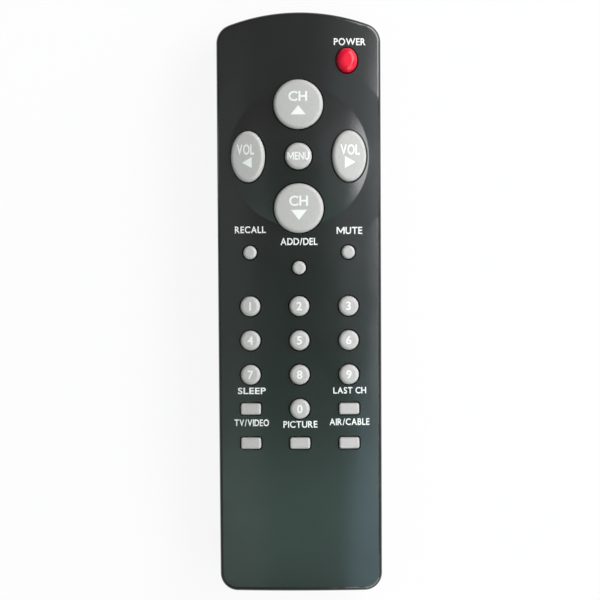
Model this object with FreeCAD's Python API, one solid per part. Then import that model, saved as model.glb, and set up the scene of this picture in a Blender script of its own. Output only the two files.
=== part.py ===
import FreeCAD, Part
import math
import os
from collections import namedtuple

# Handheld remote control. X runs across it, +Y points at the emitter end, and +Z out of the keypad face.
# The origin is the middle of the flat back. All sizes are in millimetres.

# Case
LENGTH = 177.0
NOSE_WIDTH = 50.4
TAIL_WIDTH = 49.5
DEPTH = 24.0
PARTING_HEIGHT = 12.5
WALL = 2.0
NOSE_RADIUS = 64.5
NOSE_CORNER = 5.8
TAIL_CORNER = 5.3
FACE_EDGE = 1.2
BACK_EDGE = 4.0
CROSS_CROWN = 120.0
LONG_CROWN = 3000.0
LIP_HEIGHT = 1.2
LIP_THICKNESS = 0.9
LIP_GAP = 0.1
SEAM_DEPTH = 0.25
SEAM_HEIGHT = 0.15

# Dome under the arrow keys and the shallow dish around it
NAVIGATION_FROM_NOSE = 44.2
DOME_RADIUS = 21.5
DOME_RISE = 1.0
DISH_RADIUS = 30.7
DISH_DEPTH = 0.3

# Layers under the face, from the battery bay up
CELL_FLOOR_GAP = 0.3
CELL_ROOF_GAP = 0.4
BAY_ROOF = 1.0
BOARD_GAP = 0.4
BOARD_THICKNESS = 1.6
MAT_THICKNESS = 1.0
PILL_THICKNESS = 0.4
DOME_ROOF = 0.7
KEY_TRAVEL = 1.1
FLANGE_THICKNESS = 0.8
FLANGE_LIP = 0.8
FLANGE_SLIP = 0.05
KEY_GAP = 0.45
FLANGE_GAP = 0.15
COLLAR_WALL = 0.9

# Keys: places on the face, plan sizes, rise above the face and rounding of the top edge. A place along the
# length is measured back from the nose.
COLUMN_PITCH = 15.0
ROW_PITCH = 10.45
DIGITS_FROM_NOSE = 89.9
DIGIT_DIAMETER = 6.0
DIGIT_RISE = 1.9
DIGIT_EDGE = 1.1
SMALL_DIAMETER = 4.05
SMALL_RISE = 1.7
SMALL_EDGE = 0.9
SMALL_SIDE_FROM_NOSE = 73.5
SMALL_MIDDLE_FROM_NOSE = 78.2
BAR_WIDTH = 6.1
BAR_HEIGHT = 3.4
BAR_CORNER = 0.7
BAR_RISE = 1.6
BAR_EDGE = 0.6
CHANNEL_DIAMETER = 15.1
CHANNEL_OFFSET = 15.85
VOLUME_WIDTH = 10.4
VOLUME_HEIGHT = 15.6
VOLUME_OFFSET = 15.45
MENU_DIAMETER = 8.1
ARROW_RISE = 2.1
ARROW_EDGE = 1.2
POWER_X = 14.9
POWER_FROM_NOSE = 14.9
POWER_WIDTH = 6.3
POWER_HEIGHT = 7.5
POWER_RISE = 2.9
POWER_EDGE = 2.0

# Domes of the mat
MAT_INSET = 4.2
MAT_END_MARGIN = 1.0
MAT_FOOT_RADIUS = 2.4
MAT_CREST_RADIUS = 1.8
MAT_SKIN = 0.45
PILL_RADIUS = 1.1

# Board
BOARD_INSET = 3.5
BOARD_FROM_NOSE = 9.5
BOARD_TAIL_MARGIN = 3.6

# Cells and bay
CELL_DIAMETER = 10.5
CELL_LENGTH = 44.5
NUB_DIAMETER = 3.8
NUB_HEIGHT = 1.2
CELL_PITCH = 12.0
CELL_SIDE_GAP = 0.35
BAY_WALL = 1.2
BAY_CASE_GAP = 0.15
PLATE_THICKNESS = 0.4
PLATE_SIZE = 8.6
DIMPLE_HEIGHT = 1.0
DIMPLE_RADIUS = 2.2
SPRING_WIRE = 0.6
SPRING_RADIUS = 2.8
SPRING_PITCH = 1.1
SPRING_TURNS = 3
TAB_WIDTH = 3.0
TAB_GAP = 0.2

# Door
DOOR_WIDTH = 30.0
DOOR_THICKNESS = 2.0
DOOR_RECESS = 0.1
DOOR_OVERLAP = 1.3
DOOR_SLIP = 0.15
TONGUE_WIDTH = 1.0
TONGUE_HEIGHT = 1.2
RAIL_HEIGHT = 1.2
RAIL_WIDTH = 1.3
GRIP_WIDTH = 16.0
GRIP_LENGTH = 11.0
GRIP_DEPTH = 0.7
GRIP_MARGIN = 4.0
GRIP_RIDGES = 6
GRIP_RIDGE_WIDTH = 0.9

# Screws
CASE_SCREW_X = 17.9
CASE_SCREWS_FROM_NOSE = (26.5, 116.0)
CASE_SHANK_RADIUS = 1.1
CASE_HEAD_RADIUS = 2.1
CASE_HEAD_HEIGHT = 1.6
CASE_SCREW_LENGTH = 11.0
WELL_DEPTH = 7.0
WELL_GAP = 0.6
LOWER_BOSS_WALL = 1.2
UPPER_BOSS_RADIUS = 2.0
SHANK_GAP = 0.2
THREAD_GAP = 0.02
BOSS_GAP = 0.35
SCREW_END_GAP = 0.3
BOARD_SCREWS_FROM_NOSE = ((-7.5, 14.5), (-14.0, 62.0), (14.0, 62.0), (-18.5, 126.5), (18.5, 126.5))
BOARD_SHANK_RADIUS = 0.9
BOARD_HEAD_RADIUS = 1.8
BOARD_HEAD_HEIGHT = 1.2
BOARD_SCREW_LENGTH = 4.0
BOARD_BOSS_RADIUS = 2.0
SLOT_WIDTH = 0.6
SLOT_DEPTH = 0.8
SLOT_REACH = 0.6

# Emitter and its window
WINDOW_WIDTH = 20.0
WINDOW_HEIGHT = 7.2
WINDOW_LIP = 1.0
WINDOW_LIP_THICKNESS = 0.8
WINDOW_GAP = 0.1
LED_DIAMETER = 5.0
LED_LENGTH = 8.6
LED_RIM = 0.4
LED_RIM_LENGTH = 1.0
LED_WINDOW_GAP = 0.4
LED_BOARD_GAP = 0.3
LEAD_PITCH = 2.54
LEAD_WIDTH = 0.5
LEAD_BACK = 2.2

# Parts under the board. The driver sits near the emitter, back from the nose, and the others stand in front of
# the battery bay, forward from its wall.
CHIP_BEFORE_BAY = (3.0, 41.75)
CHIP_LENGTH = 12.8
CHIP_WIDTH = 7.5
CHIP_HEIGHT = 2.4
CHIP_STANDOFF = 0.15
CHIP_LEGS = 10
CHIP_LEG_PITCH = 1.27
CHIP_LEG_WIDTH = 0.4
CHIP_LEG_THICKNESS = 0.25
CHIP_FOOT = 1.3
RESONATOR_BEFORE_BAY = (-10.0, 36.75)
RESONATOR_WIDTH = 7.4
RESONATOR_THICKNESS = 3.0
RESONATOR_HEIGHT = 5.0
RESONATOR_STANDOFF = 1.0
CAPACITOR_BEFORE_BAY = (-11.0, 17.75)
CAPACITOR_RADIUS = 3.1
CAPACITOR_HEIGHT = 7.5
CAPACITOR_STANDOFF = 0.5
TRANSISTOR_FROM_NOSE = (7.0, 28.5)
TRANSISTOR_RADIUS = 2.3
TRANSISTOR_HEIGHT = 4.6
TRANSISTOR_STANDOFF = 1.6
TRANSISTOR_FLAT = 1.1
RESISTORS_BEFORE_BAY = (10.0, 27.75)
RESISTOR_COUNT = 3
RESISTOR_PITCH = 5.0
RESISTOR_RADIUS = 1.15
RESISTOR_LENGTH = 6.0
RESISTOR_SPAN = 10.0

# Heights that follow from the layers
DOOR_TOP = DOOR_THICKNESS
CELL_AXIS_Z = DOOR_TOP + CELL_FLOOR_GAP + CELL_DIAMETER / 2
BAY_INNER_TOP = CELL_AXIS_Z + CELL_DIAMETER / 2 + CELL_ROOF_GAP
BAY_OUTER_TOP = BAY_INNER_TOP + BAY_ROOF
BOARD_UNDER = BAY_OUTER_TOP + BOARD_GAP
BOARD_TOP = BOARD_UNDER + BOARD_THICKNESS
MAT_TOP = BOARD_TOP + MAT_THICKNESS
PILL_UNDER = BOARD_TOP + KEY_TRAVEL
PILL_TOP = PILL_UNDER + PILL_THICKNESS
FLANGE_UNDER = PILL_TOP + DOME_ROOF
FLANGE_TOP = FLANGE_UNDER + FLANGE_THICKNESS
COLLAR_UNDER = FLANGE_TOP + FLANGE_SLIP
LED_Z = BOARD_UNDER - LED_BOARD_GAP - LED_DIAMETER / 2 - LED_RIM

# Places along the length that follow from the ends and the cells
NOSE_Y = LENGTH / 2
TAIL_Y = -LENGTH / 2
NAVIGATION_Y = NOSE_Y - NAVIGATION_FROM_NOSE
DIGIT_ROW_Y = NOSE_Y - DIGITS_FROM_NOSE
LAST_ROW_Y = DIGIT_ROW_Y - 4 * ROW_PITCH
BOARD_FRONT_Y = NOSE_Y - BOARD_FROM_NOSE
BOARD_BACK_Y = LAST_ROW_Y - BAR_HEIGHT / 2 - BOARD_TAIL_MARGIN
BAY_HALF_WIDTH = CELL_PITCH / 2 + CELL_DIAMETER / 2 + CELL_SIDE_GAP
SPRING_LENGTH = SPRING_TURNS * SPRING_PITCH + SPRING_WIRE
BAY_TAIL_Y = TAIL_Y + WALL + BAY_CASE_GAP + BAY_WALL
BAY_NOSE_Y = BAY_TAIL_Y + CELL_LENGTH + 2 * PLATE_THICKNESS + SPRING_LENGTH + DIMPLE_HEIGHT
DOOR_NOSE_Y = BAY_NOSE_Y + BAY_WALL + DOOR_OVERLAP
CASE_SCREWS = [(side * CASE_SCREW_X, NOSE_Y - back) for back in CASE_SCREWS_FROM_NOSE for side in (-1, 1)]
BOARD_SCREWS = [(x, NOSE_Y - back) for x, back in BOARD_SCREWS_FROM_NOSE]

# How far working solids reach past the part, and how close two numbers are that count as the same
FAR = 40.0
FACE_OVERRUN = 10.0
OVERRUN = 1.0
CLOSE = 1e-3

V = FreeCAD.Vector
ACROSS = V(1, 0, 0)
Key = namedtuple("Key", "name x y width height corner rise edge on_dome")


def box(x0, x1, y0, y1, z0, z1):
    return Part.makeBox(x1 - x0, y1 - y0, z1 - z0, V(x0, y0, z0))


def post(x, y, radius, z0, z1):
    return Part.makeCylinder(radius, z1 - z0, V(x, y, z0))


def joined(first, others):
    return first.fuse(list(others)).removeSplitter()


def uprights(prism, y):
    """The upright edges of a prism that stand at y."""
    return [e for e in prism.Edges if e.BoundBox.ZLength > WALL / 4 and abs(e.CenterOfMass.y - y) < CLOSE]


def outline_prism(inset, z0, z1):
    """The case outline, moved in by a distance, as a prism."""
    half_nose = NOSE_WIDTH / 2 - inset
    half_tail = TAIL_WIDTH / 2 - inset
    arc_radius = NOSE_RADIUS - inset
    arc_centre_y = NOSE_Y - NOSE_RADIUS
    shoulder_y = arc_centre_y + math.sqrt(arc_radius**2 - half_nose**2)
    tail_y = TAIL_Y + inset
    tail_left = V(-half_tail, tail_y, z0)
    tail_right = V(half_tail, tail_y, z0)
    nose_right = V(half_nose, shoulder_y, z0)
    nose_left = V(-half_nose, shoulder_y, z0)
    apex = V(0, arc_centre_y + arc_radius, z0)
    edges = [
        Part.LineSegment(tail_left, tail_right).toShape(),
        Part.LineSegment(tail_right, nose_right).toShape(),
        Part.Arc(nose_right, apex, nose_left).toShape(),
        Part.LineSegment(nose_left, tail_left).toShape(),
    ]
    prism = Part.Face(Part.Wire(edges)).extrude(V(0, 0, z1 - z0))
    prism = prism.makeFillet(NOSE_CORNER - inset, uprights(prism, shoulder_y))
    return prism.makeFillet(TAIL_CORNER - inset, uprights(prism, tail_y))


def outline_band(outer_inset, inner_inset, z0, z1):
    """A ring of the outline between two insets."""
    return outline_prism(outer_inset, z0, z1).cut(outline_prism(inner_inset, z0 - OVERRUN, z1 + OVERRUN))


def under_face(lift, bulge=0.0, bulge_radius=DOME_RADIUS, y=0.0):
    """Solid under the crowned face raised by lift.

    A bulge stands above the face at y on the centre line and meets it again at bulge_radius.
    """
    reach = (bulge_radius if bulge else LENGTH / 2) + FACE_OVERRUN
    bend = 2 * bulge / bulge_radius**2
    cross_radius = 1 / (1 / CROSS_CROWN + bend) + lift
    long_curve = 1 / LONG_CROWN + bend
    crest = DEPTH + bulge + lift
    axis_z = DEPTH + bulge - 1 / long_curve
    edge_z = crest - cross_radius + math.sqrt(cross_radius**2 - FAR**2)
    corners = [V(-FAR, 0, edge_z), V(-FAR, 0, -FAR), V(FAR, 0, -FAR), V(FAR, 0, edge_z)]
    edges = [Part.LineSegment(a, b).toShape() for a, b in zip(corners, corners[1:])]
    edges.append(Part.Arc(corners[3], V(0, 0, crest), corners[0]).toShape())
    section = Part.Face(Part.Wire(edges))
    swing = math.degrees(math.asin(reach * abs(long_curve)))
    section.rotate(V(0, 0, axis_z), ACROSS, -swing)
    solid = section.revolve(V(0, 0, axis_z), ACROSS, 2 * swing)
    solid.rotate(V(0, 0, DEPTH - LONG_CROWN), ACROSS, -math.degrees(math.asin(y / LONG_CROWN)))
    return solid


def key_list():
    """Every key, from the emitter end to the tail."""
    def disc(name, x, y, diameter, rise, edge, on_dome=False):
        return Key(name, x, y, diameter, diameter, None, rise, edge, on_dome)

    def bar(name, column, y):
        x = column * COLUMN_PITCH
        return Key(name, x, y, BAR_WIDTH, BAR_HEIGHT, BAR_CORNER, BAR_RISE, BAR_EDGE, False)

    arrow = (ARROW_RISE, ARROW_EDGE, True)
    power_y = NOSE_Y - POWER_FROM_NOSE
    small_y = NOSE_Y - SMALL_SIDE_FROM_NOSE
    small_middle_y = NOSE_Y - SMALL_MIDDLE_FROM_NOSE
    keys = [
        Key("key_power", POWER_X, power_y, POWER_WIDTH, POWER_HEIGHT, None, POWER_RISE, POWER_EDGE, False),
        disc("key_channel_up", 0, NAVIGATION_Y + CHANNEL_OFFSET, CHANNEL_DIAMETER, *arrow),
        disc("key_channel_down", 0, NAVIGATION_Y - CHANNEL_OFFSET, CHANNEL_DIAMETER, *arrow),
        Key("key_volume_down", -VOLUME_OFFSET, NAVIGATION_Y, VOLUME_WIDTH, VOLUME_HEIGHT, None, *arrow),
        Key("key_volume_up", VOLUME_OFFSET, NAVIGATION_Y, VOLUME_WIDTH, VOLUME_HEIGHT, None, *arrow),
        disc("key_menu", 0, NAVIGATION_Y, MENU_DIAMETER, *arrow),
        disc("key_recall", -COLUMN_PITCH, small_y, SMALL_DIAMETER, SMALL_RISE, SMALL_EDGE),
        disc("key_add", 0, small_middle_y, SMALL_DIAMETER, SMALL_RISE, SMALL_EDGE),
        disc("key_mute", COLUMN_PITCH, small_y, SMALL_DIAMETER, SMALL_RISE, SMALL_EDGE),
    ]
    for digit in range(1, 10):
        row, column = divmod(digit - 1, 3)
        x = (column - 1) * COLUMN_PITCH
        y = DIGIT_ROW_Y - row * ROW_PITCH
        keys.append(disc(f"key_{digit}", x, y, DIGIT_DIAMETER, DIGIT_RISE, DIGIT_EDGE))
    zero_y = DIGIT_ROW_Y - 3 * ROW_PITCH
    keys.append(disc("key_0", 0, zero_y, DIGIT_DIAMETER, DIGIT_RISE, DIGIT_EDGE))
    keys.append(bar("key_sleep", -1, zero_y))
    keys.append(bar("key_last_channel", 1, zero_y))
    keys.append(bar("key_source", -1, LAST_ROW_Y))
    keys.append(bar("key_picture", 0, LAST_ROW_Y))
    keys.append(bar("key_antenna", 1, LAST_ROW_Y))
    return keys


def key_prism(key, grow, z0, z1):
    """The plan shape of a key, grown by a distance, as a prism."""
    half_width = key.width / 2 + grow
    half_height = key.height / 2 + grow
    if key.corner is not None:
        corner = V(key.x - half_width, key.y - half_height, z0)
        block = Part.makeBox(2 * half_width, 2 * half_height, z1 - z0, corner)
        upright = [e for e in block.Edges if e.BoundBox.ZLength > (z1 - z0) / 2]
        return block.makeFillet(key.corner + grow, upright)
    if key.width == key.height:
        return post(key.x, key.y, half_width, z0, z1)
    centre = V(key.x, key.y, z0)
    ellipse = Part.Ellipse(centre + V(0, half_height, 0), centre + V(half_width, 0, 0), centre)
    return Part.Face(Part.Wire(ellipse.toShape())).extrude(V(0, 0, z1 - z0))


def crest_height(y, on_dome):
    """Height of the face, or of the dome on it, on the centre line."""
    height = DEPTH - LONG_CROWN + math.sqrt(LONG_CROWN**2 - y**2)
    if on_dome:
        height += DOME_RISE * (1 - ((y - NAVIGATION_Y) / DOME_RADIUS) ** 2)
    return height


def key_ceiling(key):
    """A round bar along Y whose upper side is the top of a key, curved across as the face is."""
    bend = 2 * DOME_RISE / DOME_RADIUS**2 if key.on_dome else 0
    radius = 1 / (1 / CROSS_CROWN + bend) + key.rise
    bar = Part.makeCylinder(radius, 2 * FAR)
    bar.rotate(V(0, 0, 0), ACROSS, -90)
    bar.translate(V(0, key.y - FAR, crest_height(key.y, key.on_dome) + key.rise - radius))
    return bar


def make_key(key):
    """A cap with a rounded top that follows the face, and a flange that keeps it under the case."""
    cap = key_prism(key, 0, FLANGE_UNDER, DEPTH + FAR).common(key_ceiling(key))
    rim = [e for e in cap.Edges if e.BoundBox.ZMin > FLANGE_TOP + FLANGE_THICKNESS]
    cap = cap.makeFillet(key.edge, rim)
    return joined(cap, [key_prism(key, FLANGE_LIP, FLANGE_UNDER, FLANGE_TOP)])


def screw_slots(x, y, radius, z):
    """A cross recess cut up into a screw head whose outer face is at z."""
    half = SLOT_WIDTH / 2
    reach = radius * SLOT_REACH
    along = box(x - reach, x + reach, y - half, y + half, z - OVERRUN, z + SLOT_DEPTH)
    over = box(x - half, x + half, y - reach, y + reach, z - OVERRUN, z + SLOT_DEPTH)
    return along.fuse(over)


def make_screws(places, head_radius, head_height, shank_radius, length, seat_z):
    """Screws that point up, with the heads under seat_z."""
    screws = []
    for x, y in places:
        head = post(x, y, head_radius, seat_z - head_height, seat_z)
        shank = post(x, y, shank_radius, seat_z - head_height / 2, seat_z + length)
        screws.append(joined(head, [shank]).cut(screw_slots(x, y, head_radius, seat_z - head_height)))
    return Part.makeCompound(screws)


def window_opening(grow, y0):
    """The block that the emitter window fills, from y0 out past the nose."""
    half = WINDOW_WIDTH / 2 + grow
    tall = WINDOW_HEIGHT / 2 + grow
    return box(-half, half, y0, NOSE_Y + OVERRUN, LED_Z - tall, LED_Z + tall)


def make_window():
    """A curved pane flush with the nose, with a lip behind the wall."""
    near_nose = NOSE_Y - NOSE_CORNER - WALL
    pane = outline_band(0, WALL, 0, DEPTH).common(window_opening(0, near_nose))
    lip = outline_band(WALL, WALL + WINDOW_LIP_THICKNESS, 0, DEPTH)
    return joined(pane, [lip.common(window_opening(WINDOW_LIP, near_nose))])


def make_top_case(keys):
    face = outline_prism(0, PARTING_HEIGHT, DEPTH + FAR).common(under_face(0))
    rim = [e for e in face.Edges if e.BoundBox.ZMin > PARTING_HEIGHT + WALL]
    face = face.makeFillet(FACE_EDGE, rim)
    dish = under_face(0, -DISH_DEPTH, DISH_RADIUS, NAVIGATION_Y)
    around = post(0, NAVIGATION_Y, DISH_RADIUS, PARTING_HEIGHT, DEPTH + FAR)
    face = face.cut(around.cut(dish))
    swell = post(0, NAVIGATION_Y, DOME_RADIUS, PARTING_HEIGHT, DEPTH + FAR)
    swell = swell.common(under_face(0, DOME_RISE, DOME_RADIUS, NAVIGATION_Y))
    face = joined(face, [swell])

    hollow = outline_prism(WALL, PARTING_HEIGHT - OVERRUN, DEPTH + FAR).common(under_face(-WALL))
    collars = [key_prism(k, KEY_GAP + COLLAR_WALL, COLLAR_UNDER, DEPTH) for k in keys]
    bosses = [post(x, y, UPPER_BOSS_RADIUS, PARTING_HEIGHT, DEPTH) for x, y in CASE_SCREWS]
    bosses += [post(x, y, BOARD_BOSS_RADIUS, BOARD_TOP, DEPTH) for x, y in BOARD_SCREWS]
    inside = collars[0].fuse(collars[1:] + bosses).common(hollow)
    case = joined(face.cut(hollow), [inside])

    tools = [key_prism(k, KEY_GAP, FLANGE_UNDER, DEPTH + FAR) for k in keys]
    tools += [key_prism(k, FLANGE_LIP + FLANGE_GAP, PARTING_HEIGHT, COLLAR_UNDER) for k in keys]
    under = PARTING_HEIGHT - OVERRUN
    case_bore = CASE_SHANK_RADIUS + THREAD_GAP
    case_bore_top = WELL_DEPTH + CASE_SCREW_LENGTH + SCREW_END_GAP
    board_bore = BOARD_SHANK_RADIUS + THREAD_GAP
    board_bore_top = BOARD_UNDER + BOARD_SCREW_LENGTH + SCREW_END_GAP
    tools += [post(x, y, case_bore, under, case_bore_top) for x, y in CASE_SCREWS]
    tools += [post(x, y, board_bore, under, board_bore_top) for x, y in BOARD_SCREWS]
    lip_outer = WALL - LIP_THICKNESS - LIP_GAP
    tools.append(outline_band(lip_outer, WALL + LIP_GAP, under, PARTING_HEIGHT + LIP_HEIGHT + LIP_GAP))
    tools.append(outline_band(-WALL, SEAM_DEPTH, under, PARTING_HEIGHT + SEAM_HEIGHT))
    tools.append(window_opening(WINDOW_GAP, NOSE_Y - NOSE_CORNER))
    return case.cut(tools).removeSplitter()


def rounded_under(prism, radius):
    """A prism with the edge of its underside rounded."""
    low = prism.BoundBox.ZMin
    rim = [e for e in prism.Edges if e.BoundBox.ZMax < low + CLOSE]
    return prism.makeFillet(radius, rim)


def case_back():
    """The outer form of the lower shell."""
    return rounded_under(outline_prism(0, 0, PARTING_HEIGHT), BACK_EDGE)


def door_shape(grow, lowest):
    """The door's section with its side tongues, grown by a clearance, from the tail inwards."""
    half = DOOR_WIDTH / 2 + grow
    top = DOOR_TOP + grow
    tail = TAIL_Y - OVERRUN
    plate = box(-half, half, tail, DOOR_NOSE_Y + grow, lowest, top)
    reach = half + TONGUE_WIDTH
    tongue_under = DOOR_TOP - TONGUE_HEIGHT - grow
    return plate.fuse(box(-reach, reach, tail, DOOR_NOSE_Y - TONGUE_WIDTH + grow, tongue_under, top))


def make_battery_door():
    door = door_shape(0, DOOR_RECESS).common(case_back()).removeSplitter()
    grip_nose = DOOR_NOSE_Y - GRIP_MARGIN
    grip_tail = grip_nose - GRIP_LENGTH
    half = GRIP_WIDTH / 2
    well = box(-half, half, grip_tail, grip_nose, -OVERRUN, DOOR_RECESS + GRIP_DEPTH)
    pitch = GRIP_LENGTH / GRIP_RIDGES
    ridges = []
    for i in range(GRIP_RIDGES):
        middle = grip_tail + (i + 0.5) * pitch
        y0 = middle - GRIP_RIDGE_WIDTH / 2
        ridges.append(box(-half, half, y0, y0 + GRIP_RIDGE_WIDTH, DOOR_RECESS, DOOR_RECESS + GRIP_DEPTH))
    return joined(door.cut(well), ridges)


def make_bottom_case():
    hollow = rounded_under(outline_prism(WALL, WALL, PARTING_HEIGHT + OVERRUN), BACK_EDGE - WALL)
    shell = case_back().cut(hollow)
    lip = outline_band(WALL - LIP_THICKNESS, WALL, PARTING_HEIGHT - LIP_GAP, PARTING_HEIGHT + LIP_HEIGHT)
    lip_break = WINDOW_WIDTH / 2 + WINDOW_LIP + LIP_THICKNESS
    lip = lip.cut(box(-lip_break, lip_break, 0, NOSE_Y, 0, DEPTH))
    bay_half = BAY_HALF_WIDTH + BAY_WALL
    bay_nose = BAY_NOSE_Y + BAY_WALL
    rail_half = DOOR_WIDTH / 2 + TONGUE_WIDTH + DOOR_SLIP + RAIL_WIDTH
    rail_top = DOOR_TOP + DOOR_SLIP + RAIL_HEIGHT
    rails = box(-rail_half, rail_half, TAIL_Y + WALL / 2, DOOR_NOSE_Y + RAIL_WIDTH, WALL / 2, rail_top)
    bay = box(-bay_half, bay_half, BAY_TAIL_Y - BAY_WALL, bay_nose, WALL, BAY_OUTER_TOP)
    bay_foot = box(-bay_half, bay_half, TAIL_Y + WALL / 2, BAY_TAIL_Y, WALL, PARTING_HEIGHT - LIP_GAP)
    well_radius = CASE_HEAD_RADIUS + WELL_GAP
    bosses = [post(x, y, well_radius + LOWER_BOSS_WALL, WALL / 2, PARTING_HEIGHT) for x, y in CASE_SCREWS]
    inside = rounded_under(outline_prism(WALL / 2, WALL / 2, PARTING_HEIGHT), BACK_EDGE - WALL / 2)
    bosses = [b.common(inside) for b in bosses]
    case = joined(shell, [lip, rails, bay, bay_foot] + bosses)

    tools = [box(-BAY_HALF_WIDTH, BAY_HALF_WIDTH, BAY_TAIL_Y, BAY_NOSE_Y, WALL - OVERRUN, BAY_INNER_TOP)]
    tools.append(door_shape(DOOR_SLIP, -OVERRUN))
    for x, y in CASE_SCREWS:
        tools.append(post(x, y, well_radius, -OVERRUN, WELL_DEPTH))
        tools.append(post(x, y, CASE_SHANK_RADIUS + SHANK_GAP, -OVERRUN, PARTING_HEIGHT + OVERRUN))
    for side in (-1, 1):
        x = side * CELL_PITCH / 2
        half = TAB_WIDTH / 2 + TAB_GAP
        tab_back = BAY_NOSE_Y - PLATE_THICKNESS - TAB_GAP
        tools.append(box(x - half, x + half, tab_back, BAY_NOSE_Y, BAY_INNER_TOP - OVERRUN, BOARD_UNDER))
    tools.append(outline_band(-WALL, SEAM_DEPTH, PARTING_HEIGHT - SEAM_HEIGHT, PARTING_HEIGHT + OVERRUN))
    tools.append(window_opening(WINDOW_GAP, NOSE_Y - NOSE_CORNER))
    return case.cut(tools).removeSplitter()


def dome_hollows(keys):
    """The hollow of each dome, from the board through the sheet up to the dome's roof."""
    foot = MAT_FOOT_RADIUS - MAT_SKIN
    crest = MAT_CREST_RADIUS - MAT_SKIN
    return [Part.makeCone(foot, crest, PILL_TOP - BOARD_TOP, V(k.x, k.y, BOARD_TOP)) for k in keys]


def make_keypad_mat(keys):
    """The silicone sheet on the board, open under each dome and round each boss."""
    sheet = outline_prism(MAT_INSET, BOARD_TOP, MAT_TOP)
    back = BOARD_BACK_Y + MAT_END_MARGIN
    front = BOARD_FRONT_Y - MAT_END_MARGIN
    sheet = sheet.common(box(-FAR, FAR, back, front, BOARD_TOP, MAT_TOP))
    tools = dome_hollows(keys)
    tools += [post(x, y, UPPER_BOSS_RADIUS + BOSS_GAP, 0, DEPTH) for x, y in CASE_SCREWS]
    tools += [post(x, y, BOARD_BOSS_RADIUS + BOSS_GAP, 0, DEPTH) for x, y in BOARD_SCREWS]
    return sheet.cut(tools)


def make_keypad_domes(keys):
    """The silicone dome under each key, which buckles when the key is pressed."""
    domes = []
    for key, hollow in zip(keys, dome_hollows(keys)):
        place = V(key.x, key.y, MAT_TOP)
        dome = Part.makeCone(MAT_FOOT_RADIUS, MAT_CREST_RADIUS, FLANGE_UNDER - MAT_TOP, place)
        domes.append(dome.cut(hollow))
    return Part.makeCompound(domes)


def make_contact_pills(keys):
    return Part.makeCompound([post(k.x, k.y, PILL_RADIUS, PILL_UNDER, PILL_TOP) for k in keys])


def make_circuit_board():
    board = outline_prism(BOARD_INSET, BOARD_UNDER, BOARD_TOP)
    board = board.common(box(-FAR, FAR, BOARD_BACK_Y, BOARD_FRONT_Y, BOARD_UNDER, BOARD_TOP))
    tools = [post(x, y, UPPER_BOSS_RADIUS + BOSS_GAP, 0, DEPTH) for x, y in CASE_SCREWS]
    tools += [post(x, y, BOARD_SHANK_RADIUS + SHANK_GAP, 0, DEPTH) for x, y in BOARD_SCREWS]
    return board.cut(tools)


def lead(x, y, z0):
    """A round lead from z0 up to the underside of the board."""
    return post(x, y, LEAD_WIDTH / 2, z0, BOARD_UNDER)


def make_ir_led():
    """A domed emitter that looks along +Y, with two leads bent up to the board."""
    tip_y = NOSE_Y - WALL - WINDOW_LIP_THICKNESS - LED_WINDOW_GAP
    base_y = tip_y - LED_LENGTH
    radius = LED_DIAMETER / 2
    forward = V(0, 1, 0)
    barrel = Part.makeCylinder(radius, LED_LENGTH - radius, V(0, base_y, LED_Z), forward)
    ball = Part.makeSphere(radius, V(0, tip_y - radius, LED_Z))
    rim = Part.makeCylinder(radius + LED_RIM, LED_RIM_LENGTH, V(0, base_y, LED_Z), forward)
    half = LEAD_WIDTH / 2
    bend_y = base_y - LEAD_BACK
    leads = []
    for side in (-1, 1):
        x = side * LEAD_PITCH / 2
        leads.append(box(x - half, x + half, bend_y, base_y + half, LED_Z - half, LED_Z + half))
        leads.append(box(x - half, x + half, bend_y, bend_y + LEAD_WIDTH, LED_Z - half, BOARD_UNDER))
    return joined(barrel, [ball, rim] + leads)


def before_bay(place):
    """A place under the board as X and Y, from X and the distance forward from the battery bay."""
    return place[0], BAY_NOSE_Y + BAY_WALL + place[1]


def make_controller_chip():
    """A package with two rows of legs on the underside of the board."""
    x, y = before_bay(CHIP_BEFORE_BAY)
    half_length = CHIP_LENGTH / 2
    half_width = CHIP_WIDTH / 2
    top = BOARD_UNDER - CHIP_STANDOFF
    body = box(x - half_length, x + half_length, y - half_width, y + half_width, top - CHIP_HEIGHT, top)
    reach = half_width + CHIP_FOOT
    sole = BOARD_UNDER - CHIP_LEG_THICKNESS
    feet = []
    for i in range(CHIP_LEGS):
        x0 = x + (i - (CHIP_LEGS - 1) / 2) * CHIP_LEG_PITCH - CHIP_LEG_WIDTH / 2
        feet.append(box(x0, x0 + CHIP_LEG_WIDTH, y - reach, y + reach, sole, BOARD_UNDER))
    return joined(body, feet)


def make_resonator():
    x, y = before_bay(RESONATOR_BEFORE_BAY)
    half_width = RESONATOR_WIDTH / 2
    half_depth = RESONATOR_THICKNESS / 2
    top = BOARD_UNDER - RESONATOR_STANDOFF
    body = box(x - half_width, x + half_width, y - half_depth, y + half_depth, top - RESONATOR_HEIGHT, top)
    return joined(body, [lead(x + side * LEAD_PITCH, y, top - RESONATOR_STANDOFF) for side in (-1, 1)])


def make_capacitor():
    x, y = before_bay(CAPACITOR_BEFORE_BAY)
    top = BOARD_UNDER - CAPACITOR_STANDOFF
    body = post(x, y, CAPACITOR_RADIUS, top - CAPACITOR_HEIGHT, top)
    return joined(body, [lead(x + side * LEAD_PITCH / 2, y, top - CAPACITOR_STANDOFF) for side in (-1, 1)])


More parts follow.
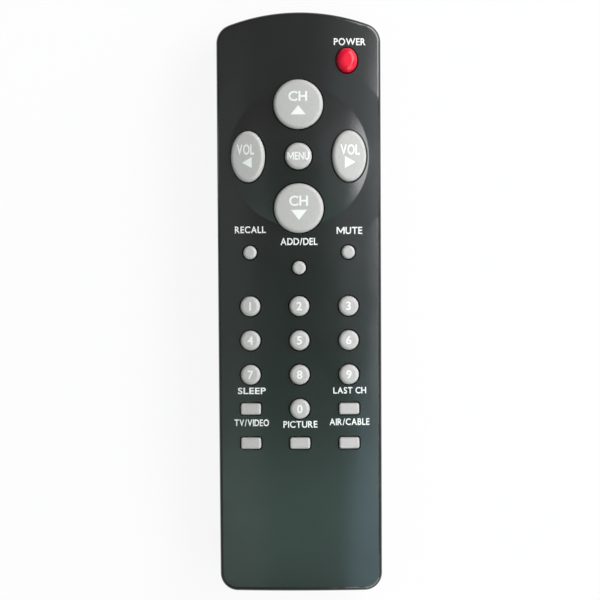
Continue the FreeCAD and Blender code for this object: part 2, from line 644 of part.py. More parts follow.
def make_driver_transistor():
    """A round package with one flat side and three leads."""
    x, back = TRANSISTOR_FROM_NOSE
    y = NOSE_Y - back
    radius = TRANSISTOR_RADIUS
    top = BOARD_UNDER - TRANSISTOR_STANDOFF
    bottom = top - TRANSISTOR_HEIGHT
    body = post(x, y, radius, bottom, top)
    flat_y = y - TRANSISTOR_FLAT
    body = body.cut(box(x - radius, x + radius, y - 2 * radius, flat_y, bottom - OVERRUN, top + OVERRUN))
    return joined(body, [lead(x + i * LEAD_PITCH / 2, y, top - TRANSISTOR_STANDOFF) for i in (-1, 0, 1)])


def make_resistors():
    """Axial resistors lying under the board."""
    x, first_y = before_bay(RESISTORS_BEFORE_BAY)
    wire = LEAD_WIDTH / 2
    z = BOARD_UNDER - RESISTOR_RADIUS - wire
    resistors = []
    for i in range(RESISTOR_COUNT):
        y = first_y - i * RESISTOR_PITCH
        body = Part.makeCylinder(RESISTOR_RADIUS, RESISTOR_LENGTH, V(x - RESISTOR_LENGTH / 2, y, z), ACROSS)
        run = Part.makeCylinder(wire, RESISTOR_SPAN, V(x - RESISTOR_SPAN / 2, y, z), ACROSS)
        ends = [lead(x + side * (RESISTOR_SPAN / 2 - wire), y, z) for side in (-1, 1)]
        resistors.append(joined(body, [run] + ends))
    return Part.makeCompound(resistors)


def make_cell(x, up):
    """A cell on its side at x. Its nub points along +Y when up is 1, and along -Y when it is -1."""
    spring_room = PLATE_THICKNESS + SPRING_LENGTH
    flat_y = BAY_TAIL_Y + spring_room if up > 0 else BAY_NOSE_Y - spring_room
    along = V(0, up, 0)
    can = Part.makeCylinder(CELL_DIAMETER / 2, CELL_LENGTH - NUB_HEIGHT, V(x, flat_y, CELL_AXIS_Z), along)
    can = can.makeChamfer(SPRING_WIRE / 2, [e for e in can.Edges if e.BoundBox.YLength < CLOSE])
    return joined(can, [Part.makeCylinder(NUB_DIAMETER / 2, CELL_LENGTH, V(x, flat_y, CELL_AXIS_Z), along)])


def end_plate(x0, x1, y0, tab_x=None):
    """A sheet-metal contact on an end wall of the bay, with a tab up to the board where tab_x says."""
    z0 = CELL_AXIS_Z - PLATE_SIZE / 2
    z1 = CELL_AXIS_Z + PLATE_SIZE / 2
    y1 = y0 + PLATE_THICKNESS
    plate = box(x0, x1, y0, y1, z0, z1)
    if tab_x is None:
        return plate
    half = TAB_WIDTH / 2
    return joined(plate, [box(tab_x - half, tab_x + half, y0, y1, z1 - OVERRUN, BOARD_UNDER)])


def dimple(x, y, up):
    return Part.makeCone(DIMPLE_RADIUS, NUB_DIAMETER / 3, DIMPLE_HEIGHT, V(x, y, CELL_AXIS_Z), V(0, up, 0))


def make_contacts():
    """The contacts of the bay: positive and negative at its nose end, and the bridge at its tail."""
    left = -CELL_PITCH / 2
    right = CELL_PITCH / 2
    half = PLATE_SIZE / 2
    nose_y = BAY_NOSE_Y - PLATE_THICKNESS
    tail_y = BAY_TAIL_Y + PLATE_THICKNESS
    positive = joined(end_plate(left - half, left + half, nose_y, left), [dimple(left, nose_y, -1)])
    negative = end_plate(right - half, right + half, nose_y, right)
    bridge = joined(end_plate(left - half, right + half, BAY_TAIL_Y), [dimple(right, tail_y, 1)])
    return positive, negative, bridge


def make_spring(x, y):
    """A coil of round wire that stands on a contact at y and points along +Y.

    Each half turn is half of a ring, tilted by its rise, and meets the next one square to the X axis.
    """
    rise = SPRING_PITCH / 2
    halves = []
    for i in range(2 * SPRING_TURNS):
        side = 1 - 2 * (i % 2)
        start = V(side * SPRING_RADIUS, 0, i * rise)
        end = V(-side * SPRING_RADIUS, 0, (i + 1) * rise)
        centre = (start + end) * 0.5
        heading = V(0, side, 0)
        wire = Part.Face(Part.Wire(Part.Circle(start, heading, SPRING_WIRE / 2).toShape()))
        halves.append(wire.revolve(centre, (start - centre).cross(heading), 180))
    coil = joined(halves[0], halves[1:])
    coil.rotate(V(0, 0, 0), ACROSS, -90)
    coil.translate(V(x, y + SPRING_WIRE / 2, CELL_AXIS_Z))
    return coil


def make_battery_springs():
    tail_y = BAY_TAIL_Y + PLATE_THICKNESS
    nose_y = BAY_NOSE_Y - PLATE_THICKNESS - SPRING_LENGTH
    return Part.makeCompound([make_spring(-CELL_PITCH / 2, tail_y), make_spring(CELL_PITCH / 2, nose_y)])


def main():
    keys = key_list()
    positive, negative, bridge = make_contacts()
    nodes = {
        "top_case": make_top_case(keys),
        "bottom_case": make_bottom_case(),
        "battery_door": make_battery_door(),
        "keypad_mat": make_keypad_mat(keys),
        "keypad_domes": make_keypad_domes(keys),
        "contact_pills": make_contact_pills(keys),
        "circuit_board": make_circuit_board(),
        "ir_window": make_window(),
        "ir_led": make_ir_led(),
        "controller_chip": make_controller_chip(),
        "resonator": make_resonator(),
        "capacitor": make_capacitor(),
        "driver_transistor": make_driver_transistor(),
        "resistors": make_resistors(),
        "battery_1": make_cell(-CELL_PITCH / 2, 1),
        "battery_2": make_cell(CELL_PITCH / 2, -1),
        "contact_plate_positive": positive,
        "contact_plate_negative": negative,
        "contact_bridge": bridge,
        "battery_springs": make_battery_springs(),
        "case_screws": make_screws(CASE_SCREWS, CASE_HEAD_RADIUS, CASE_HEAD_HEIGHT, CASE_SHANK_RADIUS,
                                   CASE_SCREW_LENGTH, WELL_DEPTH),
        "board_screws": make_screws(BOARD_SCREWS, BOARD_HEAD_RADIUS, BOARD_HEAD_HEIGHT, BOARD_SHANK_RADIUS,
                                    BOARD_SCREW_LENGTH, BOARD_UNDER),
    }
    for key in keys:
        nodes[key.name] = make_key(key)
    os.makedirs("parts", exist_ok=True)
    for name, shape in nodes.items():
        shape.exportStep(f"parts/{name}.step")
        print(name, "solids", len(shape.Solids), "valid", shape.isValid(), "volume", round(shape.Volume, 2))


main()
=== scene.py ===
import math

import bmesh
import bpy
from mathutils import Matrix, Vector
from mathutils.bvhtree import BVHTree


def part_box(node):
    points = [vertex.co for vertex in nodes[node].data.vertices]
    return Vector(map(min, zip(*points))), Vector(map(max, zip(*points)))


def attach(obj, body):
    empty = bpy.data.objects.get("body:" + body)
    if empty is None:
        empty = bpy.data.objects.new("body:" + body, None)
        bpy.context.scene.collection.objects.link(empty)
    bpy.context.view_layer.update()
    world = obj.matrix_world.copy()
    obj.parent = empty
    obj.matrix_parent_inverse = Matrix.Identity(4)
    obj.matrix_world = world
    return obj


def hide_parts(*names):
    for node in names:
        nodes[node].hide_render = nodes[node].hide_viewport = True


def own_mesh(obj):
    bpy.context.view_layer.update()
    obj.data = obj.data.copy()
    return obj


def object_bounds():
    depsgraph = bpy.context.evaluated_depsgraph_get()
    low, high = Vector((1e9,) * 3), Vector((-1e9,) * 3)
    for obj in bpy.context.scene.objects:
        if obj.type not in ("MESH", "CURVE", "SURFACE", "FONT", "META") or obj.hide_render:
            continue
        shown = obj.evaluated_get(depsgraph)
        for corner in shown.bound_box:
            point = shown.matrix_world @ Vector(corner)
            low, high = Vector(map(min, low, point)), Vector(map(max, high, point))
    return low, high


# A handheld remote control, seen from nearly straight above.
# Lengths are metres, and small ones are written as millimetres times MM.
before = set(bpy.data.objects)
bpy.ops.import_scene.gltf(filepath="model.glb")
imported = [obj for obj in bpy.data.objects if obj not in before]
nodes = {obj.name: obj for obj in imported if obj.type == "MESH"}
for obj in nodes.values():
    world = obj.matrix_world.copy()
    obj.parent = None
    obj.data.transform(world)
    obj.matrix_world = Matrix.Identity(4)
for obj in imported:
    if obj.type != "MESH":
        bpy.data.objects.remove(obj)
cad_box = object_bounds()
MM = 0.001

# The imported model's plain materials only say which slot each node has
node_slots = {name: [m.name for m in node.data.materials] for name, node in nodes.items()}
for plain in list(bpy.data.materials):
    bpy.data.materials.remove(plain)

# Camera. A pixel of the picture covers PIXEL at the height that the camera aims at.
IMAGE_SIDE = 600
PIXEL = 0.3067 * MM
LENS = 150.0
SENSOR = 36.0
CLIP_START = 0.01
AIM_HEIGHT = 20 * MM
CAMERA_OFFSET = (0.1 * MM, 0.45 * MM)
CAMERA_TILT = math.radians(1.5)
LEAN = math.radians(0.33)

# Noise of the materials, and the board's tracks, whose fold and edge are shares of a cell
NOISE_DETAIL = 3.0
NOISE_LOW = 0.3
NOISE_HIGH = 0.7
TRACK_CELL = 4 * MM
TRACK_FOLD = 0.12
TRACK_EDGE = (0.05, 0.06)

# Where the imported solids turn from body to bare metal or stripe
CHIP_LEAD = 1.2 * MM
LEAD_STANDOFFS = (("resonator", 1.0 * MM), ("capacitor", 0.5 * MM), ("driver_transistor", 1.6 * MM))
LEAD_MARGIN = 0.05 * MM
END_MARGIN = 0.01 * MM
SLEEVE_STRIPE = 0.6 * MM
RESISTOR_HALF = 3 * MM
LED_LEAD = 2.15 * MM
CELL_CAP = 1.25 * MM

# Print on the case and the keys. The weight and the gaps are shares of the font's size.
INK_RISE = 0.03 * MM
INK_SINK = 0.02 * MM
INK_WELD = INK_RISE / 10
INK_FACET = 0.5 * MM
INK_WEIGHT = 0.02
LETTER_GAP = 0.08
WORD_GAP = 0.3
ARC_STEPS = 4

# Floor. The glow is the share of plain white in it wherever it is seen.
FLOOR_SIDE = 6.0
FLOOR_DROP = 0.2 * MM
FLOOR_TONE = (0.9, 0.9, 0.9, 1)
FLOOR_ROUGHNESS = 0.8
FLOOR_GLOW = 0.9

# World. Its strength rises toward the bright side, and its tint turns in a band of directions along Y.
WORLD_STRENGTH = (0.12, 0.3)
BRIGHT_SIDE = (0.7, -0.3, 0.6)
TINT_BAND = (-0.02, 0.16)
TAIL_TINT = (0.75, 1.0, 0.86, 1)
NOSE_TINT = (1.2, 1.04, 1.12, 1)

# Name, azimuth and angle off the zenith in degrees, distance, sides, radiance and colour of each lamp
LAMPS = (
    ("rim_light", 6, 34.5, 1.2, (0.38, 0.44), 5.6, (0.94, 0.97, 1.0)),
    ("glow_light", 22, 17, 1.4, (0.34, 0.34), 0.42, (0.85, 0.95, 1.0)),
    ("key_light", 35, 58, 1.3, (0.85, 1.0), 5.3, (1, 1, 1)),
    ("lower_light", -50, 57, 1.3, (0.85, 1.0), 2.5, (1, 1, 1)),
    ("left_light", 195, 40, 1.3, (1.2, 0.8), 0.2, (1, 1, 1)),
    ("tail_light", -90, 9.9, 1.6, (0.14, 1.7), 1.0, (0.6, 1.0, 0.9)),
    ("tail_corner_light", -30, 24, 1.4, (0.3, 0.3), 1.0, (0.5, 0.75, 1.0)),
)

# Silicone skirts, buttons and pills under the keys
SKIRT_FOOT = 2.4 * MM
SKIRT_CREST = 1.8 * MM
SKIRT_SKIN = 0.45 * MM
BUTTON_GAP = 0.1 * MM
PILL_RADIUS = 1.1 * MM
PILL_EDGE = 0.08 * MM
PILL_LIFT = 0.02 * MM
ROUND_STEPS = 32
SHARP_ANGLE = math.radians(40)


# Materials
def tone(red, green, blue):
    """A colour from display values of 0 to 255."""
    def linear(value):
        value /= 255
        return value / 12.92 if value <= 0.04045 else ((value + 0.055) / 1.055) ** 2.4
    return linear(red), linear(green), linear(blue), 1.0


def noise(tree, size, stretch):
    """A noise whose features have about a size. A stretch draws them out along an axis."""
    place = tree.nodes.new("ShaderNodeTexCoord")
    mapping = tree.nodes.new("ShaderNodeMapping")
    mapping.inputs["Scale"].default_value = [1 / s for s in stretch]
    tree.links.new(place.outputs["Object"], mapping.inputs["Vector"])
    texture = tree.nodes.new("ShaderNodeTexNoise")
    texture.inputs["Scale"].default_value = 1 / size
    texture.inputs["Detail"].default_value = NOISE_DETAIL
    tree.links.new(mapping.outputs["Vector"], texture.inputs["Vector"])
    return texture.outputs["Fac"]


def spread(tree, value, low, high, start=NOISE_LOW, end=NOISE_HIGH):
    """A value from start to end, made into one from low to high."""
    node = tree.nodes.new("ShaderNodeMapRange")
    node.inputs["From Min"].default_value = start
    node.inputs["From Max"].default_value = end
    node.inputs["To Min"].default_value = low
    node.inputs["To Max"].default_value = high
    tree.links.new(value, node.inputs["Value"])
    return node.outputs["Result"]


def colours(tree, value, stops, interpolation="LINEAR"):
    """A colour from a value, by stops of a position and a colour."""
    node = tree.nodes.new("ShaderNodeValToRGB")
    ramp = node.color_ramp
    ramp.interpolation = interpolation
    while len(ramp.elements) < len(stops):
        ramp.elements.new(1.0)
    for element, (position, colour) in zip(ramp.elements, stops):
        element.position = position
        element.color = colour
    tree.links.new(value, node.inputs["Fac"])
    return node.outputs["Color"]


def emboss(tree, shader, height, depth):
    """Bump of a depth by a height from 0 to 1."""
    node = tree.nodes.new("ShaderNodeBump")
    node.inputs["Distance"].default_value = depth
    tree.links.new(height, node.inputs["Height"])
    tree.links.new(node.outputs["Normal"], shader.inputs["Normal"])


def surface(name, dark, light, patch, grain, depth, roughness, metallic=0.0, stretch=(1, 1, 1), **sockets):
    """A material whose colour and gloss wander over patches, under a fine grain of a depth."""
    material = bpy.data.materials.new(name)
    material.use_nodes = True
    tree = material.node_tree
    shader = tree.nodes["Principled BSDF"]
    shader.inputs["Metallic"].default_value = metallic
    for socket, value in sockets.items():
        shader.inputs[socket.replace("_", " ")].default_value = value
    patches = noise(tree, patch, stretch)
    blend = colours(tree, patches, [(NOISE_LOW, dark), (NOISE_HIGH, light)])
    tree.links.new(blend, shader.inputs["Base Color"])
    smooth, rough = roughness
    tree.links.new(spread(tree, patches, smooth, rough), shader.inputs["Roughness"])
    emboss(tree, shader, noise(tree, grain, stretch), depth)
    return material


def along(tree, axis, start, end):
    """How far a point lies between two places on an axis, from 0 to 1."""
    place = tree.nodes.new("ShaderNodeTexCoord")
    split = tree.nodes.new("ShaderNodeSeparateXYZ")
    tree.links.new(place.outputs["Object"], split.inputs["Vector"])
    return spread(tree, split.outputs[axis], 0.0, 1.0, start, end)


def banded(material, axis, start, end, stops):
    """Replaces a material's colour by bands across an axis."""
    tree = material.node_tree
    bands = colours(tree, along(tree, axis, start, end), stops, "CONSTANT")
    tree.links.new(bands, tree.nodes["Principled BSDF"].inputs["Base Color"])


def track_laminate():
    """Board material: a lacquered laminate with copper tracks that run under the lacquer."""
    green, copper = tone(28, 78, 46), tone(66, 118, 62)
    material = surface("board_laminate", green, copper, 3 * MM, 0.3 * MM, 0.01 * MM, (0.35, 0.5))
    tree = material.node_tree
    place = tree.nodes.new("ShaderNodeTexCoord")
    cells = tree.nodes.new("ShaderNodeTexVoronoi")
    cells.distance = "MANHATTAN"
    cells.feature = "F1"
    cells.inputs["Scale"].default_value = 1 / TRACK_CELL
    tree.links.new(place.outputs["Object"], cells.inputs["Vector"])
    tracks = tree.nodes.new("ShaderNodeMath")
    tracks.operation = "PINGPONG"
    tracks.inputs[1].default_value = TRACK_FOLD
    tree.links.new(cells.outputs["Distance"], tracks.inputs[0])
    gap_end, track_start = TRACK_EDGE
    stops = [(0.0, green), (gap_end, green), (track_start, copper)]
    lacquer = colours(tree, tracks.outputs["Value"], stops)
    tree.links.new(lacquer, tree.nodes["Principled BSDF"].inputs["Base Color"])
    return material


# Ground colour of a resistor, and each band's start and end along its body, as shares, and colour
RESISTOR_GROUND = tone(206, 180, 140)
RESISTOR_BANDS = (
    (0.2, 0.28, tone(96, 52, 24)),
    (0.38, 0.46, tone(20, 20, 20)),
    (0.56, 0.64, tone(190, 40, 30)),
    (0.78, 0.86, tone(190, 150, 60)),
)


def make_materials():
    """One material for each slot of the record, and one for each finish that only this script has."""
    made = [
        surface("case_plastic", tone(18, 23, 21), tone(22, 27, 25), 14 * MM, 0.35 * MM, 0.005 * MM,
                (0.16, 0.2), Specular_IOR_Level=0.9),
        surface("grey_key", tone(188, 186, 185), tone(198, 196, 194), 0.5 * MM, 0.25 * MM, 0.006 * MM,
                (0.3, 0.38), Specular_IOR_Level=0.3),
        surface("red_key", tone(230, 4, 46), tone(240, 10, 54), 2 * MM, 0.8 * MM, 0.006 * MM,
                (0.22, 0.28), Specular_IOR_Level=0.5),
        surface("window_plastic", tone(22, 4, 8), tone(34, 6, 10), 6 * MM, 2 * MM, 0.003 * MM,
                (0.08, 0.12), Coat_Weight=0.5),
        surface("silicone", tone(150, 154, 156), tone(166, 170, 171), 4 * MM, 0.3 * MM, 0.01 * MM,
                (0.55, 0.65), Subsurface_Weight=0.2),
        surface("carbon_rubber", tone(20, 20, 21), tone(30, 30, 31), 1 * MM, 0.2 * MM, 0.01 * MM,
                (0.6, 0.7)),
        track_laminate(),
        surface("led_resin", tone(46, 30, 66), tone(60, 40, 84), 2 * MM, 0.5 * MM, 0.003 * MM,
                (0.06, 0.1), Transmission_Weight=0.5),
        surface("package_resin", tone(16, 16, 17), tone(30, 30, 32), 1 * MM, 0.15 * MM, 0.02 * MM,
                (0.5, 0.65)),
        surface("resonator_body", tone(196, 112, 34), tone(214, 128, 44), 1.5 * MM, 0.3 * MM, 0.02 * MM,
                (0.25, 0.35)),
        surface("capacitor_sleeve", tone(24, 30, 62), tone(30, 38, 74), 2 * MM, 0.5 * MM, 0.01 * MM,
                (0.2, 0.3)),
        surface("resistor_body", RESISTOR_GROUND, RESISTOR_GROUND, 1 * MM, 0.3 * MM, 0.01 * MM,
                (0.3, 0.4)),
        surface("cell", tone(52, 60, 66), tone(60, 70, 76), 5 * MM, 0.8 * MM, 0.006 * MM, (0.22, 0.3)),
        surface("contact_metal", tone(150, 150, 150), tone(190, 190, 188), 2 * MM, 0.15 * MM, 0.006 * MM,
                (0.22, 0.34), metallic=1.0, stretch=(6, 1, 1)),
        surface("screw_steel", tone(120, 122, 124), tone(165, 166, 168), 0.7 * MM, 0.1 * MM, 0.008 * MM,
                (0.28, 0.42), metallic=1.0),
        surface("white_ink", tone(243, 244, 243), tone(249, 250, 249), 1 * MM, 0.2 * MM, 0.006 * MM,
                (0.42, 0.5)),
        surface("tinned_lead", tone(168, 168, 164), tone(196, 196, 190), 0.8 * MM, 0.15 * MM, 0.006 * MM,
                (0.25, 0.36), metallic=1.0),
        surface("sleeve_stripe", tone(172, 176, 184), tone(190, 193, 200), 1 * MM, 0.4 * MM, 0.006 * MM,
                (0.25, 0.33)),
    ]
    return {material.name: material for material in made}


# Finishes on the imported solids
def paint(name, material, test):
    """Gives another material to the faces of a node whose middle passes a test."""
    mesh = nodes[name].data
    mesh.materials.append(material)
    index = len(mesh.materials) - 1
    for face in mesh.polygons:
        if test(face.center):
            face.material_index = index


def finish_nodes(finishes):
    """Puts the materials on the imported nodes, with bare metal on leads and cell ends, and stripes."""
    for name, slots in node_slots.items():
        for index, slot in enumerate(slots):
            nodes[name].data.materials[index] = finishes[slot]
    metal = finishes["tinned_lead"]
    low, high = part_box("controller_chip")
    middle_y = (low.y + high.y) / 2
    package_half = (high.y - low.y) / 2 - CHIP_LEAD
    paint("controller_chip", metal, lambda p: abs(p.y - middle_y) > package_half)
    for name, standoff in LEAD_STANDOFFS:
        body_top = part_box(name)[1].z - standoff
        paint(name, metal, lambda p: p.z > body_top + LEAD_MARGIN)
    low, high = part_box("capacitor")
    paint("capacitor", finishes["sleeve_stripe"], lambda p: p.x < low.x + SLEEVE_STRIPE)
    paint("capacitor", metal, lambda p: p.z < low.z + END_MARGIN)
    low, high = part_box("resistors")
    middle_x = (low.x + high.x) / 2
    paint("resistors", metal, lambda p: abs(p.x - middle_x) > RESISTOR_HALF + END_MARGIN)
    stops = [(0.0, RESISTOR_GROUND)]
    for start, end, colour in RESISTOR_BANDS:
        stops += [(start, colour), (end, RESISTOR_GROUND)]
    banded(finishes["resistor_body"], "X", middle_x - RESISTOR_HALF, middle_x + RESISTOR_HALF, stops)
    low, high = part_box("ir_led")
    paint("ir_led", metal, lambda p: p.y < low.y + LED_LEAD)
    for name in ("battery_1", "battery_2"):
        low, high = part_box(name)
        paint(name, finishes["contact_metal"], lambda p: not low.y + CELL_CAP < p.y < high.y - CELL_CAP)


# Print
def solid_mesh(curve):
    """A flat closed curve or a text as a solid mesh."""
    curve.extrude = 0.5
    curve.resolution_u = ARC_STEPS
    holder = bpy.data.objects.new("outline", curve)
    bpy.context.scene.collection.objects.link(holder)
    bpy.context.view_layer.update()
    mesh = bpy.data.meshes.new_from_object(holder)
    bpy.data.objects.remove(holder)
    bpy.data.curves.remove(curve)
    return mesh


def polygon_mesh(corners):
    """A closed outline with straight sides as a solid mesh."""
    curve = bpy.data.curves.new("outline", "CURVE")
    curve.dimensions = "2D"
    curve.fill_mode = "BOTH"
    spline = curve.splines.new("POLY")
    spline.points.add(len(corners) - 1)
    for point, (x, y) in zip(spline.points, corners):
        point.co = (x, y, 0, 1)
    spline.use_cyclic_u = True
    return solid_mesh(curve)


def font_mesh(character):
    """A character of the built-in font, a little bolder, as a solid mesh."""
    curve = bpy.data.curves.new("letter", "FONT")
    curve.body = character
    curve.offset = INK_WEIGHT
    return solid_mesh(curve)


def limits(mesh, axis):
    """The lowest and the highest place of a mesh along an axis."""
    values = [v.co[axis] for v in mesh.vertices]
    return min(values), max(values)


def letter_m():
    """The built-in font's M fills up when it is made bolder, so this one is drawn."""
    bottom, top = limits(font_mesh("E"), 1)
    left, right = limits(font_mesh("I"), 0)
    stem = right - left
    width = 6.4 * stem
    middle, notch = width / 2, bottom + 0.4 * (top - bottom)
    shoulder, throat = 1.2 * stem, 1.6 * stem
    return polygon_mesh([
        (0, bottom), (0, top), (shoulder, top), (middle, notch), (width - shoulder, top), (width, top),
        (width, bottom), (width - stem, bottom), (width - stem, top - throat), (middle, notch - throat),
        (stem, top - throat), (stem, bottom),
    ])


def word_mesh(text):
    """A word as a solid mesh of letters, an even gap apart."""
    bm = bmesh.new()
    pen = 0.0
    for character in text:
        if character == " ":
            pen += WORD_GAP
            continue
        letter = letter_m() if character == "M" else font_mesh(character)
        left, right = limits(letter, 0)
        letter.transform(Matrix.Translation((pen - left, 0, 0)))
        bm.from_mesh(letter)
        pen += right - left + LETTER_GAP
    mesh = bpy.data.meshes.new(text)
    bm.to_mesh(mesh)
    bm.free()
    return mesh


def arrow_mesh(direction):
    """A triangle that points in a direction."""
    x, y = direction
    return polygon_mesh([(x, y), (-x - y, x - y), (y - x, -x - y)])


def carrier_tree(name):
    """The faces of a node, for casting rays on them."""
    mesh = nodes[name].data
    return BVHTree.FromPolygons([v.co for v in mesh.vertices], [p.vertices[:] for p in mesh.polygons])


def slice_up(bm, axis, middle, length):
    """Cuts a mesh across an axis into slices no longer than a facet, so that it can bend."""
    normal = Vector([float(i == axis) for i in range(3)])
    count = math.ceil(length / INK_FACET)
    for i in range(1, count):
        place = middle + length * (i / count - 0.5)
        everything = bm.verts[:] + bm.edges[:] + bm.faces[:]
        bmesh.ops.bisect_plane(bm, geom=everything, plane_co=normal * place, plane_no=normal)


def print_on(name, mesh, carrier, body, centre, width, height, ink):
    """Lays a flat mesh on the upper side of a node as a thin film, with its middle and size in plan.

    Without a width, it keeps its proportions.
    """
    (left, right), (bottom, top) = limits(mesh, 0), limits(mesh, 1)
    scale_y = height / (top - bottom)
    scale_x = scale_y if width is None else width / (right - left)
    bm = bmesh.new()
    bm.from_mesh(mesh)
    for vert in bm.verts:
        vert.co.x = centre[0] + (vert.co.x - (left + right) / 2) * scale_x
        vert.co.y = centre[1] + (vert.co.y - (bottom + top) / 2) * scale_y
        vert.co.z *= INK_RISE
    bmesh.ops.remove_doubles(bm, verts=bm.verts, dist=INK_WELD)
    slice_up(bm, 0, centre[0], (right - left) * scale_x)
    slice_up(bm, 1, centre[1], height)
    sky = cad_box[1].z + INK_FACET
    for vert in bm.verts:
        hit = carrier.ray_cast(Vector((vert.co.x, vert.co.y, sky)), Vector((0, 0, -1)))[0]
        if hit is None:
            raise ValueError(f"{name} hangs over an edge of its carrier at {vert.co.to_2d()}")
        vert.co.z = hit.z + (INK_RISE if vert.co.z > 0 else -INK_SINK)
    bmesh.ops.triangulate(bm, faces=bm.faces)
    bm.to_mesh(mesh)
    bm.free()
    mesh.name = name
    mesh.materials.clear()
    mesh.materials.append(ink)
    piece = bpy.data.objects.new(name, mesh)
    bpy.context.scene.collection.objects.link(piece)
    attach(piece, body)


def key_centre(name):
    """The middle of a key in plan."""
    low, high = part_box(name)
    return (low.x + high.x) / 2, (low.y + high.y) / 2


# Word, key, shift of its middle from the key's in X and Y, width and height, all in millimetres
CASE_LEGENDS = (
    ("POWER", "key_power", 0.9, 5.75, 9.7, 2.2),
    ("RECALL", "key_recall", 0.1, 7.0, 9.5, 2.1),
    ("ADD/DEL", "key_add", 0.0, 8.0, 11.3, 2.2),
    ("MUTE", "key_mute", 0.4, 6.6, 7.8, 2.2),
    ("SLEEP", "key_sleep", 0.3, 5.5, 8.6, 2.0),
    ("LAST CH", "key_last_channel", 0.2, 5.55, 10.0, 2.0),
    ("TV/VIDEO", "key_source", 0.2, 6.2, 10.6, 2.1),
    ("PICTURE", "key_picture", 0.1, 5.7, 10.4, 2.1),
    ("AIR/CABLE", "key_antenna", 0.1, 6.4, 12.2, 2.1),
)
KEY_LEGENDS = (
    ("CH", "key_channel_up", -0.1, 2.4, 5.7, 3.1),
    ("CH", "key_channel_down", 0.0, 2.2, 5.7, 3.2),
    ("VOL", "key_volume_down", -0.7, 2.1, 5.3, 3.2),
    ("VOL", "key_volume_up", 0.3, 1.9, 5.8, 3.2),
    ("MENU", "key_menu", 0.0, 0.0, 6.7, 2.4),
)
KEY_ARROWS = (
    ((0, 1), "key_channel_up", 0.0, -1.8, 4.6, 2.8),
    ((0, -1), "key_channel_down", 0.1, -2.1, 4.9, 3.1),
    ((-1, 0), "key_volume_down", -0.3, -1.9, 3.0, 3.3),
    ((1, 0), "key_volume_up", 0.3, -1.9, 3.2, 3.6),
)
DIGIT_HEIGHT = 2.6


def make_print(ink):
    """The words on the case, and the words, arrows and digits on the keys."""
    case = carrier_tree("top_case")

    def place(prefix, mesh, key, shift_x, shift_y, width, height, on_case=False):
        """Prints a mesh on a key, or on the case near it. Measures are in millimetres."""
        x, y = key_centre(key)
        carrier, body = (case, "case") if on_case else (carrier_tree(key), key)
        centre = (x + shift_x * MM, y + shift_y * MM)
        width = None if width is None else width * MM
        print_on(key.replace("key", prefix), mesh, carrier, body, centre, width, height * MM, ink)

    for word, key, *layout in CASE_LEGENDS:
        place("legend", word_mesh(word), key, *layout, on_case=True)
    for word, key, *layout in KEY_LEGENDS:
        place("word", word_mesh(word), key, *layout)
    for direction, key, *layout in KEY_ARROWS:
        place("arrow", arrow_mesh(direction), key, *layout)
    for digit in "0123456789":
        place("digit", font_mesh(digit), f"key_{digit}", 0, 0, None, DIGIT_HEIGHT)


# Rubber parts under each key
def lathe(name, centre, profile, material):
    """A ring or button turned round an upright line, from a closed profile of radii and heights."""
    bm = bmesh.new()
    rings = []
    for radius, z in profile:
        if radius == 0:
            rings.append([bm.verts.new((*centre, z))])
            continue
        ring = []
        for i in range(ROUND_STEPS):
            angle = 2 * math.pi * i / ROUND_STEPS
            x = centre[0] + radius * math.cos(angle)
            y = centre[1] + radius * math.sin(angle)
            ring.append(bm.verts.new((x, y, z)))
        rings.append(ring)
    for a, b in zip(rings, rings[1:] + rings[:1]):
        if len(a) == len(b) == 1:
            continue
        for i in range(ROUND_STEPS):
            j = (i + 1) % ROUND_STEPS
            corners = [a[i % len(a)], a[j % len(a)], b[j % len(b)], b[i % len(b)]]
            bm.faces.new(dict.fromkeys(corners))
    bmesh.ops.recalc_face_normals(bm, faces=bm.faces)
    mesh = bpy.data.meshes.new(name)
    bm.to_mesh(mesh)
    bm.free()
    mesh.shade_smooth()
    mesh.set_sharp_from_angle(angle=SHARP_ANGLE)
    mesh.materials.append(material)
    piece = bpy.data.objects.new(name, mesh)
    bpy.context.scene.collection.objects.link(piece)
    return piece


def make_rubber(finishes):
    """The skirt, button and pill under each key.

    The skirt rides on the case, and the others go down with the key.
    """
    foot_z, crest_z = (corner.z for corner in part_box("keypad_domes"))
    pill_low, pill_top = (corner.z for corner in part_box("contact_pills"))
    bulge_z = (foot_z + crest_z) / 2
    inner_foot = SKIRT_FOOT - 2 * SKIRT_SKIN
    inner_crest = SKIRT_CREST - SKIRT_SKIN
    button_radius = inner_crest - BUTTON_GAP
    sole = pill_low + PILL_LIFT
    skirt_profile = [
        (SKIRT_FOOT, foot_z), ((SKIRT_FOOT + SKIRT_CREST) / 2, bulge_z), (SKIRT_CREST, crest_z),
        (inner_crest, crest_z), ((inner_foot + inner_crest) / 2, bulge_z), (inner_foot, foot_z),
    ]
    button_profile = [(0, crest_z), (button_radius, crest_z), (button_radius, pill_top), (0, pill_top)]
    pill_profile = [
        (0, pill_top), (PILL_RADIUS, pill_top), (PILL_RADIUS, sole + PILL_EDGE),
        (PILL_RADIUS - PILL_EDGE, sole), (0, sole),
    ]

    def stand_in(name, centre, profile, slot, node, body):
        """A turned piece that stands for its share of a node and rides on a body."""
        piece = lathe(name, centre, profile, finishes[slot])
        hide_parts(node)
        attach(piece, body)
        return piece

    for key in (name for name in nodes if name.startswith("key_")):
        centre = key_centre(key)
        short = key.removeprefix("key_")
        skirt = stand_in(f"skirt_{short}", centre, skirt_profile, "silicone", "keypad_domes", "case")
        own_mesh(skirt)
        stand_in(f"button_{short}", centre, button_profile, "silicone", "keypad_domes", key)
        stand_in(f"pill_{short}", centre, pill_profile, "carbon_rubber", "contact_pills", key)


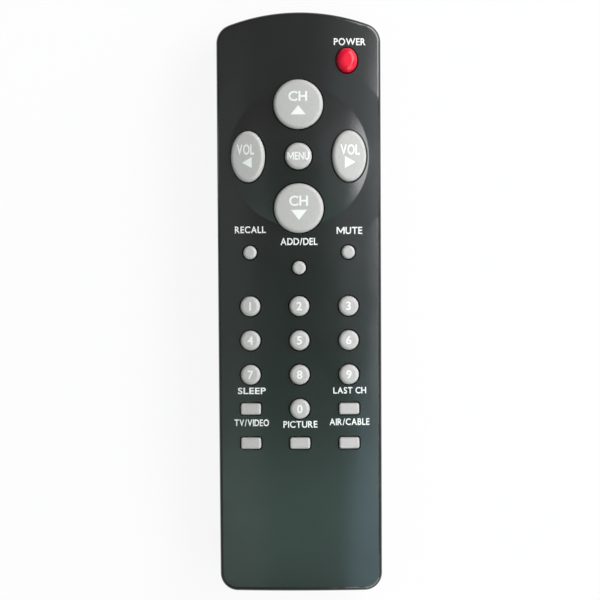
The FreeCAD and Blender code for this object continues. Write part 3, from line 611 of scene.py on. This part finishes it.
# Stage
def make_floor():
    """A pale floor that keeps the object's shadow and shows nearly white."""
    bpy.ops.mesh.primitive_plane_add(size=FLOOR_SIDE, location=(0, 0, -FLOOR_DROP))
    floor = bpy.context.object
    floor.name = "floor"
    material = bpy.data.materials.new("floor_white")
    material.use_nodes = True
    tree = material.node_tree
    shader = tree.nodes["Principled BSDF"]
    shader.inputs["Base Color"].default_value = FLOOR_TONE
    shader.inputs["Roughness"].default_value = FLOOR_ROUGHNESS
    glow = tree.nodes.new("ShaderNodeEmission")
    path = tree.nodes.new("ShaderNodeLightPath")
    seen = path.outputs["Is Camera Ray"]
    for ray in ("Is Glossy Ray", "Is Transmission Ray"):
        either = tree.nodes.new("ShaderNodeMath")
        either.operation = "MAXIMUM"
        tree.links.new(seen, either.inputs[0])
        tree.links.new(path.outputs[ray], either.inputs[1])
        seen = either.outputs["Value"]
    share = tree.nodes.new("ShaderNodeMath")
    share.operation = "MULTIPLY"
    share.inputs[1].default_value = FLOOR_GLOW
    tree.links.new(seen, share.inputs[0])
    mix = tree.nodes.new("ShaderNodeMixShader")
    tree.links.new(share.outputs["Value"], mix.inputs["Fac"])
    tree.links.new(shader.outputs["BSDF"], mix.inputs[1])
    tree.links.new(glow.outputs["Emission"], mix.inputs[2])
    tree.links.new(mix.outputs["Shader"], tree.nodes["Material Output"].inputs["Surface"])
    floor.data.materials.append(material)


def soft_light(name, toward, off_zenith, distance, size, radiance, colour):
    """A rectangular lamp aimed at the object, from an azimuth in degrees from +X to +Y.

    Its first side points at the zenith and its second runs round it.
    """
    tilt = Matrix.Rotation(math.radians(off_zenith), 3, "Y")
    turn = Matrix.Rotation(math.radians(toward), 3, "Z") @ tilt
    lamp = bpy.data.lights.new(name, "AREA")
    lamp.shape = "RECTANGLE"
    lamp.size, lamp.size_y = size
    lamp.energy = radiance * math.pi * size[0] * size[1]
    lamp.color = colour
    holder = bpy.data.objects.new(name, lamp)
    holder.location = turn @ Vector((0, 0, distance))
    holder.rotation_euler = turn.to_euler()
    bpy.context.scene.collection.objects.link(holder)


def make_world():
    """Soft light from all round, stronger on one side, greenish from the tail and rosy from the nose."""
    world = bpy.data.worlds.new("room")
    bpy.context.scene.world = world
    world.use_nodes = True
    tree = world.node_tree
    background = tree.nodes["Background"]
    place = tree.nodes.new("ShaderNodeTexCoord")
    facing = tree.nodes.new("ShaderNodeVectorMath")
    facing.operation = "DOT_PRODUCT"
    facing.inputs[1].default_value = Vector(BRIGHT_SIDE).normalized()
    tree.links.new(place.outputs["Generated"], facing.inputs[0])
    strength = spread(tree, facing.outputs["Value"], *WORLD_STRENGTH, -1.0, 1.0)
    tree.links.new(strength, background.inputs["Strength"])
    split = tree.nodes.new("ShaderNodeSeparateXYZ")
    tree.links.new(place.outputs["Generated"], split.inputs["Vector"])
    toward_nose = spread(tree, split.outputs["Y"], 0.0, 1.0, *TINT_BAND)
    tints = colours(tree, toward_nose, [(0.0, TAIL_TINT), (1.0, NOSE_TINT)])
    tree.links.new(tints, background.inputs["Color"])


def make_camera():
    """The camera above the object, with the photograph's tilt and lean."""
    data = bpy.data.cameras.new("camera")
    data.sensor_width = SENSOR
    data.lens = LENS
    data.clip_start = CLIP_START
    camera = bpy.data.objects.new("camera", data)
    distance = IMAGE_SIDE * PIXEL * LENS / SENSOR
    turn = Matrix.Rotation(CAMERA_TILT, 3, "Y") @ Matrix.Rotation(-LEAN, 3, "Z")
    camera.location = Vector((*CAMERA_OFFSET, AIM_HEIGHT)) + turn @ Vector((0, 0, distance))
    camera.rotation_euler = turn.to_euler()
    bpy.context.scene.collection.objects.link(camera)
    bpy.context.scene.camera = camera


bpy.context.scene.view_settings.view_transform = "Standard"
finishes = make_materials()
finish_nodes(finishes)
make_print(finishes["white_ink"])
make_rubber(finishes)
make_floor()
make_world()
for lamp in LAMPS:
    soft_light(*lamp)
make_camera()
